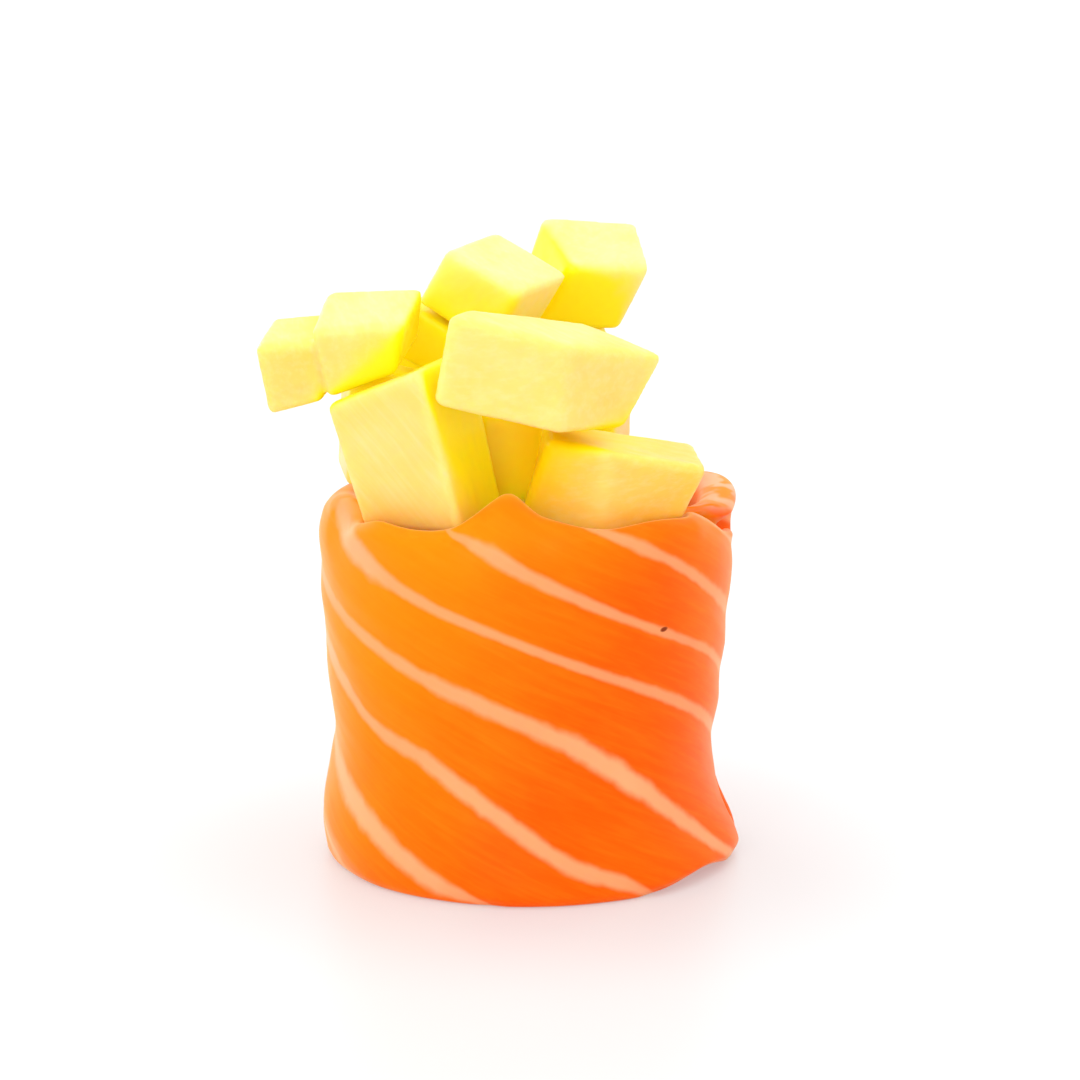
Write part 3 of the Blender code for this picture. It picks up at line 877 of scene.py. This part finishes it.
    def rounded_ends(self, turn: Array) -> Array:
        """Share of its thickness that the strip keeps, as both cut ends are rounded."""
        last = np.clip((turn - self.end) / self.end_rounding + 1.0, 0.0, 1.0)
        first = np.clip((self.start - turn) / self.end_rounding + 1.0, 0.0, 1.0)
        return np.maximum(np.sqrt(1.0 - np.maximum(last, first) ** 2), self.end_kept)

    def shade_share(self, turn: Array, height: Array) -> Array:
        """Painted shade in the orange: most at the foot and right of the front, least at the rim.

        Args:
            turn: Turns along the strip.
            height: Heights above the foot.

        Returns:
            A share for each point, from about 0 to over 1.
        """
        side = 0.55 + 0.75 * np.sin(np.radians(turn - 264.0)) - 0.6 * ease((turn - 302.0) / 40.0)
        foot = 0.55 * np.clip(1.0 - height / 24.0, 0.0, 1.0)
        rim = 0.35 * np.clip((height - 27.0) / 5.0, 0.0, 1.0)
        return side + foot - rim

    def build(self) -> Object:
        """Make the strip's mesh.

        Returns:
            The finished strip.
        """
        even = np.linspace(self.start, self.end, self.steps)[:-1]
        turn = np.unique([*even, *(self.end - np.array(self.end_turns))])[:, None]
        radius, height, rim = self.section(turn)
        middle = (self.outer(turn, height) + self.inner(turn, height)) / 2
        kept = self.rounded_ends(turn)
        radius = middle + (radius - middle) * kept
        above = np.clip(height / self.middle_height - 1.0, -1.0, 1.0)
        height = height - (1.0 - kept) * self.end_crown * above
        # The knife cut the outer end in a slow wave.
        near_end = ease((turn - self.end + self.taper) / self.taper)
        level = np.minimum(height, self.rim_height(turn) - self.rim_rounding)
        rows = np.stack([np.full(level.shape, 3.0), np.zeros(level.shape), level], -1)
        uneven = 0.5 + 0.5 * waves(rows.reshape(-1, 3), self.end_wave_length).reshape(level.shape)
        angle = np.radians(turn - self.end_wave * uneven * near_end)
        across = np.stack([np.cos(angle), np.sin(angle)], -1)
        # The flesh swells a little, and its fibres stand out along the lines of fat.
        on_mean = np.concatenate([across * self.mean_radius, height[..., None]], -1)
        swell = self.flesh_wave * waves(on_mean.reshape(-1, 3), self.flesh_wave_length)
        along = np.radians(turn - 270.0) * self.mean_radius + 0.0 * height
        lie = math.atan(FatLine.fall)
        with_fat = along * math.cos(lie) - height * math.sin(lie)
        over_fat = along * math.sin(lie) + height * math.cos(lie)
        strands = np.stack([self.fibre_stretch * with_fat, over_fat, 0.3 * radius], -1)
        relief = self.fibre_relief * waves(strands.reshape(-1, 3), self.fibre_spacing, 3.1)
        outside = ease((radius - middle) / (0.5 * self.thickness(turn) + 0.01))
        radius = radius + (swell + relief).reshape(radius.shape) * outside - self.skin
        points = np.concatenate([across * radius[..., None], height[..., None]], -1)
        mesh = tube("salmon_wrap_sliced", points)
        flat = np.stack([along, height, radius - middle], -1).reshape(-1, 3)
        set_attribute(mesh, "strip", flat)
        distance, width = self.fat(turn, height)
        set_attribute(mesh, "fat", distance.ravel())
        widths, richness = np.array(self.richness).T
        set_attribute(mesh, "richness", np.interp(width, widths, richness).ravel())
        # The cut rim's light pink, partly a painted grazing highlight.
        shown = sum(swell.at(turn) for swell in self.cut_and_highlight_shown)
        set_attribute(mesh, "cut", (np.clip(rim * 1.4, 0.0, 1.0) * shown).ravel())
        # Painted shade, which the finish uses to darken the orange.
        set_attribute(mesh, "painted_shade", self.shade_share(turn, height).ravel())
        return new_object("salmon_wrap_sliced", mesh, self.finish.material())

    def bed_radius(self, turn: Array, height: Array) -> Array:
        """Radius of the space inside the wrap, under whichever layer lies innermost.

        Args:
            turn: Turns from 0 to 360.
            height: Heights above the foot.

        Returns:
            The radius, less the clearance.
        """
        best = np.full(np.broadcast(turn, height).shape, np.inf)
        for lap in (-360.0, 0.0, 360.0):
            for aside in (-7.0, -3.5, 0.0, 3.5, 7.0):
                near = turn + lap + aside
                inside = (near >= self.start) & (near <= self.end)
                for step in (-1.6, 0.0, 1.6):
                    radius = self.inner(near, np.maximum(height + step, 0.0))
                    best = np.where(inside, np.minimum(best, radius), best)
        return best - self.clearance


# ---- the mango dice -----------------------------------------------------------------
@dataclass
class MangoDice:
    """The cut dice, each remade fine from its node, with soft knife-cut faces."""

    finish: MangoFlesh
    salmon: Object
    prefix: str = "mango_"
    grid: float = 0.24
    smoothing: int = 4
    skin: float = 0.05
    knife_wave: float = 0.10
    knife_wave_length: float = 5.0
    strand_relief: float = 0.03
    strand_spacing: float = 0.9
    strand_stretch: float = 0.13
    pit_depth: float = 0.06
    pit_spacing: float = 1.7
    edge_reach: int = 7
    # How far and how strongly the salmon's bounced orange is painted on the dice.
    bounce_reach: float = 4.0
    bounce_most: float = 0.42
    usual_ripeness: float = 0.45
    ripeness: tuple[tuple[str, float], ...] = (
        ("mango_front_right", 0.9), ("mango_inner", 0.8), ("mango_right", 0.7),
        ("mango_upper", 0.05), ("mango_top", 0.1), ("mango_back_upper", 0.2),
    )
    # How strongly each die takes the painted shade.
    shade_strength: tuple[tuple[str, float], ...] = (
        ("mango_upper", 0.55), ("mango_top", 1.8), ("mango_middle", 0.75),
        ("mango_front_left", 1.25), ("mango_left", 1.2),
    )

    def build(self) -> dict[str, Object]:
        """Make every die.

        Returns:
            Node name to finished die.
        """
        material = self.finish.material()
        names = sorted(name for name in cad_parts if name.startswith(self.prefix))
        dice = {name: self.die(number, name, material) for number, name in enumerate(names)}
        # Mark where the finish paints the salmon's bounced orange, then shade where the dice block
        # each other's view.
        self.mark_salmon_bounce(*dice.values())
        painted_shading = dict(self.shade_strength)
        marked = [(die, painted_shading.get(name, 1.0)) for name, die in dice.items()]
        Shelter(list(dice.values())).mark(*marked)
        return dice

    def mark_salmon_bounce(self, *dice: Object) -> None:
        """Store how near each point of the dice lies to the salmon, most where they touch: the
        share of the salmon's bounced orange that is painted there.
        """
        surface = surface_of(self.salmon)
        reach = self.bounce_reach * MM
        for die in dice:
            hits = [surface.find_nearest(vertex.co, reach)[3] for vertex in die.data.vertices]
            away = np.array([reach if hit is None else hit for hit in hits])
            near = self.bounce_most * ease(1.0 - away / reach)
            set_attribute(die.data, "near_salmon", near)

    def fine_mesh(self, name: str) -> Mesh:
        """Remesh a merged copy of a node's solid.

        Args:
            name: The node's name.

        Returns:
            An even mesh of small faces.
        """
        shape = bmesh.new()
        shape.from_mesh(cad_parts[name].data)
        bmesh.ops.remove_doubles(shape, verts=shape.verts, dist=1e-7)
        merged = bpy.data.meshes.new(name + "_merged")
        shape.to_mesh(merged)
        shape.free()
        source = link(name + "_merged", merged)
        remesh = source.modifiers.new("grid", "REMESH")
        remesh.mode = "VOXEL"
        remesh.voxel_size = self.grid * MM
        graph = bpy.context.evaluated_depsgraph_get()
        fine = bpy.data.meshes.new_from_object(source.evaluated_get(graph))
        bpy.data.objects.remove(source)
        bpy.data.meshes.remove(merged)
        return fine

    def die(self, number: int, name: str, material: Material) -> Object:
        """Make one die.

        Args:
            number: Its place in the list, which sets how its fibres lie.
            name: Its node's name.
            material: Its finish.

        Returns:
            The finished die.
        """
        mesh = self.fine_mesh(name)
        shape = bmesh.new()
        shape.from_mesh(mesh)
        for _ in range(self.smoothing):
            bmesh.ops.smooth_vert(
                shape, verts=shape.verts, factor=0.5,
                use_axis_x=True, use_axis_y=True, use_axis_z=True,
            )
        bmesh.ops.recalc_face_normals(shape, faces=shape.faces)
        shape.normal_update()
        points = np.array([vertex.co[:] for vertex in shape.verts]) / MM
        normals = np.array([vertex.normal[:] for vertex in shape.verts])
        pairs = np.array([[edge.verts[0].index, edge.verts[1].index] for edge in shape.edges])
        edge = self.edge_share(points, normals, pairs)
        turned = Euler((0.3 * number, 0.35 - 0.2 * (number % 4), 0.9 * number)).to_matrix()
        fibre = (points - points.mean(0)) @ np.array(turned).T
        along = fibre * np.array((self.strand_stretch, 1.0, 1.0))
        strands = waves(along, self.strand_spacing, number)
        knife = waves(points, self.knife_wave_length, number + 0.5)
        pits = np.minimum(waves(fibre, self.pit_spacing, number + 7.3) + 0.25, 0.0)
        rise = self.strand_relief * strands + self.knife_wave * knife + self.pit_depth * pits
        points = points + normals * (rise * (1.0 - 0.5 * edge) - self.skin)[:, None]
        for vertex, point in zip(shape.verts, points * MM):
            vertex.co = point
        shape.to_mesh(mesh)
        shape.free()
        set_attribute(mesh, "fibre", fibre + 20.0 * number)
        set_attribute(mesh, "edge", edge)
        ripe = dict(self.ripeness).get(name, self.usual_ripeness)
        set_attribute(mesh, "ripeness", ripe * (0.9 + 0.3 * waves(points, 8.0, number)))
        return new_object(name + "_cut", mesh, material)

    def edge_share(self, points: Array, normals: Array, pairs: Array) -> Array:
        """Find where the surface bends round an edge.

        Args:
            points: One row for each point.
            normals: The normals there.
            pairs: Two point numbers for each edge.

        Returns:
            A share for each point: 1 on an outer edge, 0 on a flat face.
        """
        first, second = pairs.T
        bend = 1.0 - (normals[first] * normals[second]).sum(1)
        total = np.zeros(len(points))
        count = np.bincount(pairs.ravel(), minlength=len(points))
        np.add.at(total, first, bend)
        np.add.at(total, second, bend)
        share = spread(total / count, pairs, self.edge_reach)
        return ease(share / np.percentile(share, 97))


# ---- the rice -----------------------------------------------------------------------
@dataclass
class RiceBed:
    """Pressed rice that fills the wrap, with the grains that show laid on its top."""

    finish: SteamedRice
    wrap: SalmonStrip
    top: float = 32.3
    fall: float = 1.7
    edge_rounding: float = 1.2
    foot_inset: float = 0.6
    foot_rise: float = 0.7
    dimple_depth: float = 0.35
    dimple_spacing: float = 1.9
    turns: int = 120
    grain_length: float = 5.8
    grain_width: float = 2.7
    grain_height: float = 0.85
    spread: float = 13.2
    clear_of_fruit: float = 1.6
    upper_grains: int = 84
    upper_raised: float = 0.35
    lower_grains: int = 130
    lower_raised: float = -0.6
    lower_phase: float = 1.4

    def core(self, material: Material) -> Object:
        """Make the pressed core: a flat foot, sides that follow the wrap, a low dome.

        Args:
            material: The rice's finish.

        Returns:
            The core.
        """
        edge = self.top - self.fall
        turn = np.linspace(0.0, 360.0, self.turns, endpoint=False)
        rings = []
        sides = np.linspace(1.6, edge - self.edge_rounding, 30)
        for height in (0.0, 0.25, self.foot_rise, *sides):
            inset = self.foot_inset * max(1.0 - height / self.foot_rise, 0.0)
            rings.append((self.wrap.bed_radius(turn, np.full_like(turn, height)) - inset, height))
        rim = self.wrap.bed_radius(turn, np.full_like(turn, edge))
        for share in np.linspace(0.97, 0.03, 26):
            rings.append((rim * share, self.top - self.fall * share * share))
        angle = np.radians(turn)
        rows = [np.stack([r * np.cos(angle), r * np.sin(angle), z + 0 * r], 1) for r, z in rings]
        points = np.concatenate(rows)
        dimple = self.dimple_depth * (waves(points, self.dimple_spacing, 5.0) - 0.4)
        points[:, 2] += np.where(points[:, 2] > edge - 0.5, dimple, 0.0)
        mesh = tube("rice_pressed", points.reshape(len(rings), self.turns, 3))
        return new_object("rice_pressed", mesh, material)

    def tree(self, material: Material) -> NodeTree:
        """Build the tree that lays grains on the core, in the spiral of a sunflower's seeds.

        Args:
            material: The rice's finish.

        Returns:
            A geometry tree with named inputs for its sizes.
        """
        made = bpy.data.node_groups.new("laid_grains", "GeometryNodeTree")
        face = made.interface
        face.new_socket("Core", in_out="INPUT", socket_type="NodeSocketGeometry")
        face.new_socket("Fruit", in_out="INPUT", socket_type="NodeSocketObject")
        face.new_socket("Grains", in_out="INPUT", socket_type="NodeSocketInt")
        for name in ("Length", "Width", "Height", "Spread", "Top", "Fall", "Phase", "Clear"):
            face.new_socket(name, in_out="INPUT", socket_type="NodeSocketFloat")
        face.new_socket("Rice", in_out="OUTPUT", socket_type="NodeSocketGeometry")
        given = add(made, "NodeGroupInput").outputs
        number = add(made, "GeometryNodeInputIndex")
        middle = add(made, "ShaderNodeMath", {0: number, 1: 0.5})
        share = add(made, "ShaderNodeMath", {0: middle, 1: given["Grains"]}, operation="DIVIDE")
        angle = add(made, "ShaderNodeMath", {
            0: number, 1: GOLDEN_ANGLE, 2: given["Phase"],
        }, operation="MULTIPLY_ADD")
        out = add(made, "ShaderNodeMath", {0: share}, operation="SQRT")
        reach = add(made, "ShaderNodeMath", {0: out, 1: given["Spread"]}, operation="MULTIPLY")
        drop = add(made, "ShaderNodeMath", {0: share, 1: given["Fall"]}, operation="MULTIPLY")
        height = add(made, "ShaderNodeMath", {0: given["Top"], 1: drop}, operation="SUBTRACT")
        where = [height, height, height]
        for axis, turned in enumerate(("COSINE", "SINE")):
            side = add(made, "ShaderNodeMath", {0: angle}, operation=turned)
            where[axis] = add(made, "ShaderNodeMath", {0: reach, 1: side}, operation="MULTIPLY")
        spot = add(made, "ShaderNodeCombineXYZ", dict(enumerate(where)))
        places = add(made, "GeometryNodePoints", {"Count": given["Grains"], "Position": spot})
        fruit = add(made, "GeometryNodeObjectInfo", {"Object": given["Fruit"]})
        fruit.transform_space = "ORIGINAL"
        near = add(made, "GeometryNodeProximity", {
            0: fruit.outputs["Geometry"],
        }, target_element="FACES")
        too_near = add(made, "FunctionNodeCompare", {
            0: near.outputs["Distance"], 1: given["Clear"],
        }, data_type="FLOAT", operation="LESS_THAN")
        free = add(made, "GeometryNodeDeleteGeometry", {
            "Geometry": places, "Selection": too_near,
        }, domain="POINT")
        ball = add(made, "GeometryNodeMeshUVSphere", {"Segments": 10, "Rings": 7, "Radius": 0.5})
        size = add(made, "ShaderNodeCombineXYZ", {
            0: given["Length"], 1: given["Width"], 2: given["Height"],
        })
        grain = add(made, "GeometryNodeTransform", {"Geometry": ball, "Scale": size})
        lie = add(made, "FunctionNodeRandomValue", {
            0: (-0.25, -0.3, -math.pi), 1: (0.25, 0.3, math.pi), "Seed": 7,
        }, data_type="FLOAT_VECTOR")
        plump = add(made, "FunctionNodeRandomValue", {
            0: (0.86, 0.9, 0.9), 1: (1.0, 1.05, 1.05), "Seed": 11,
        }, data_type="FLOAT_VECTOR")
        laid = add(made, "GeometryNodeInstanceOnPoints", {
            "Points": free, "Instance": grain, "Rotation": lie, "Scale": plump,
        })
        grains = add(made, "GeometryNodeRealizeInstances", {0: laid})
        both = add(made, "GeometryNodeJoinGeometry", {0: grains})
        made.links.new(given["Core"], both.inputs[0])
        dressed = add(made, "GeometryNodeSetMaterial", {"Geometry": both, "Material": material})
        add(made, "NodeGroupOutput", {0: dressed})
        return made

    def build(self, dice: list[Object]) -> Object:
        """Make the rice, with no grain in the fruit.

        Args:
            dice: The dice that lie on it.

        Returns:
            The finished rice.
        """
        material = self.finish.material()
        joined = bmesh.new()
        for die in dice:
            joined.from_mesh(die.data)
        all_fruit = bpy.data.meshes.new("all_fruit")
        joined.to_mesh(all_fruit)
        joined.free()
        fruit = link("all_fruit", all_fruit)
        rice = self.core(material)
        tree = self.tree(material)
        sockets = {item.name: item.identifier for item in tree.interface.items_tree}
        for grains, raised, phase in (
            (self.upper_grains, self.upper_raised, 0.0),
            (self.lower_grains, self.lower_raised, self.lower_phase),
        ):
            layer = rice.modifiers.new("grains", "NODES")
            layer.node_group = tree
            for name, value in {
                "Fruit": fruit,
                "Grains": grains,
                "Length": self.grain_length * MM,
                "Width": self.grain_width * MM,
                "Height": self.grain_width * self.grain_height * MM,
                "Spread": self.spread * MM,
                "Top": (self.top + raised) * MM,
                "Fall": self.fall * MM,
                "Phase": phase,
                "Clear": self.clear_of_fruit * MM,
            }.items():
                layer[sockets[name]] = value
        graph = bpy.context.evaluated_depsgraph_get()
        rice_mesh = bpy.data.meshes.new_from_object(rice.evaluated_get(graph))
        rice.modifiers.clear()
        rice.data = rice_mesh
        rice_mesh.shade_smooth()
        bpy.data.objects.remove(fruit)
        bpy.data.meshes.remove(all_fruit)
        return rice


# ---- the studio ---------------------------------------------------------------------
@dataclass
class Studio:
    """A light table in a bright light tent, with the camera at the photograph's place."""

    finish: LightTable
    floor_width: float = 9000.0
    floor_drop: float = 0.02
    aim: tuple[float, float, float] = (0.9, 0.0, 28.2)
    distance: float = 350.0
    elevation: float = 12.0
    lens: float = 131.8
    tent: float = 0.62
    ceiling: float = 0.9
    backdrop: float = 0.45
    key_strength: float = 1.15
    key_angle: float = 40.0
    key_way: tuple[float, float, float] = (0.22, 0.9, -0.34)
    edge_strength: float = 0.7
    edge_angle: float = 35.0
    edge_way: tuple[float, float, float] = (0.6, -0.75, -0.25)

    def floor(self) -> None:
        """Lay the table's top."""
        half, down = self.floor_width / 2 * MM, -self.floor_drop * MM
        corners = [(half * x, half * y, down) for x, y in ((-1, -1), (1, -1), (1, 1), (-1, 1))]
        mesh = bpy.data.meshes.new("light_table")
        mesh.from_pydata(corners, [], [(0, 1, 2, 3)])
        new_object("light_table", mesh, self.finish.material())

    def lights(self) -> None:
        """Light the tent from all sides, most from its ceiling and its back, with a soft key
        from the front and a light that catches the left edge from behind."""
        world = bpy.data.worlds.new("tent")
        bpy.context.scene.world = world
        world.use_nodes = True
        tree = world.node_tree
        tree.nodes.clear()
        here = add(tree, "ShaderNodeTexCoord")
        parts = add(tree, "ShaderNodeSeparateXYZ", {0: here.outputs["Generated"]})
        up = add(tree, "ShaderNodeMapRange", {
            "Value": parts.outputs["Z"], "From Min": 0.1, "From Max": 0.95,
            "To Min": self.tent, "To Max": self.tent + self.ceiling,
        }, interpolation_type="SMOOTHSTEP")
        behind = add(tree, "ShaderNodeMapRange", {
            "Value": parts.outputs["Y"], "From Min": 0.2, "From Max": 0.9,
            "To Max": self.backdrop,
        }, interpolation_type="SMOOTHSTEP")
        total = add(tree, "ShaderNodeMath", {0: up, 1: behind})
        glow = add(tree, "ShaderNodeBackground", {"Color": linear("#ffffff"), "Strength": total})
        add(tree, "ShaderNodeOutputWorld", {"Surface": glow})
        for name, strength, angle, way in (
            ("key", self.key_strength, self.key_angle, self.key_way),
            ("edge_light", self.edge_strength, self.edge_angle, self.edge_way),
        ):
            data = bpy.data.lights.new(name, "SUN")
            data.energy = strength
            data.angle = math.radians(angle)
            light = link(name, data)
            light.rotation_euler = Vector(way).to_track_quat("-Z", "Y").to_euler()

    def camera(self) -> None:
        """Set up the camera, on the photograph's line of sight."""
        data = bpy.data.cameras.new("camera")
        data.lens = self.lens
        data.sensor_width = 36.0
        data.clip_start = 0.01
        data.clip_end = 50.0
        tilt = math.radians(self.elevation)
        back = Vector((0.0, -math.cos(tilt), math.sin(tilt)))
        made = link("camera", data)
        made.location = (Vector(self.aim) + back * self.distance) * MM
        made.rotation_euler = (-back).to_track_quat("-Z", "Y").to_euler()
        bpy.context.scene.camera = made

    def build(self) -> None:
        """Set up the floor, the lights, the camera and the plain tone curve."""
        self.floor()
        self.lights()
        self.camera()
        bpy.context.scene.view_settings.view_transform = "Standard"
        bpy.context.scene.view_settings.look = "None"


def main() -> None:
    """Build every piece in order."""
    strip = SalmonStrip(SalmonFlesh())
    wrap = strip.build()
    dice = MangoDice(MangoFlesh(), wrap).build()
    # Painted shade on the salmon's rim, where the dice block its view.
    Shelter([wrap, *dice.values()]).mark((wrap, 1.0), above=26.0)
    place(wrap, "salmon_wrap", Slot.SALMON)
    for node, die in dice.items():
        place(die, node, Slot.MANGO)
    rice = RiceBed(SteamedRice(), strip).build(list(dice.values()))
    place(rice, "rice", Slot.RICE)
    Studio(LightTable()).build()


if __name__ == "__main__":
    logging.basicConfig(level=logging.INFO, format="%(name)s: %(message)s")
    main()
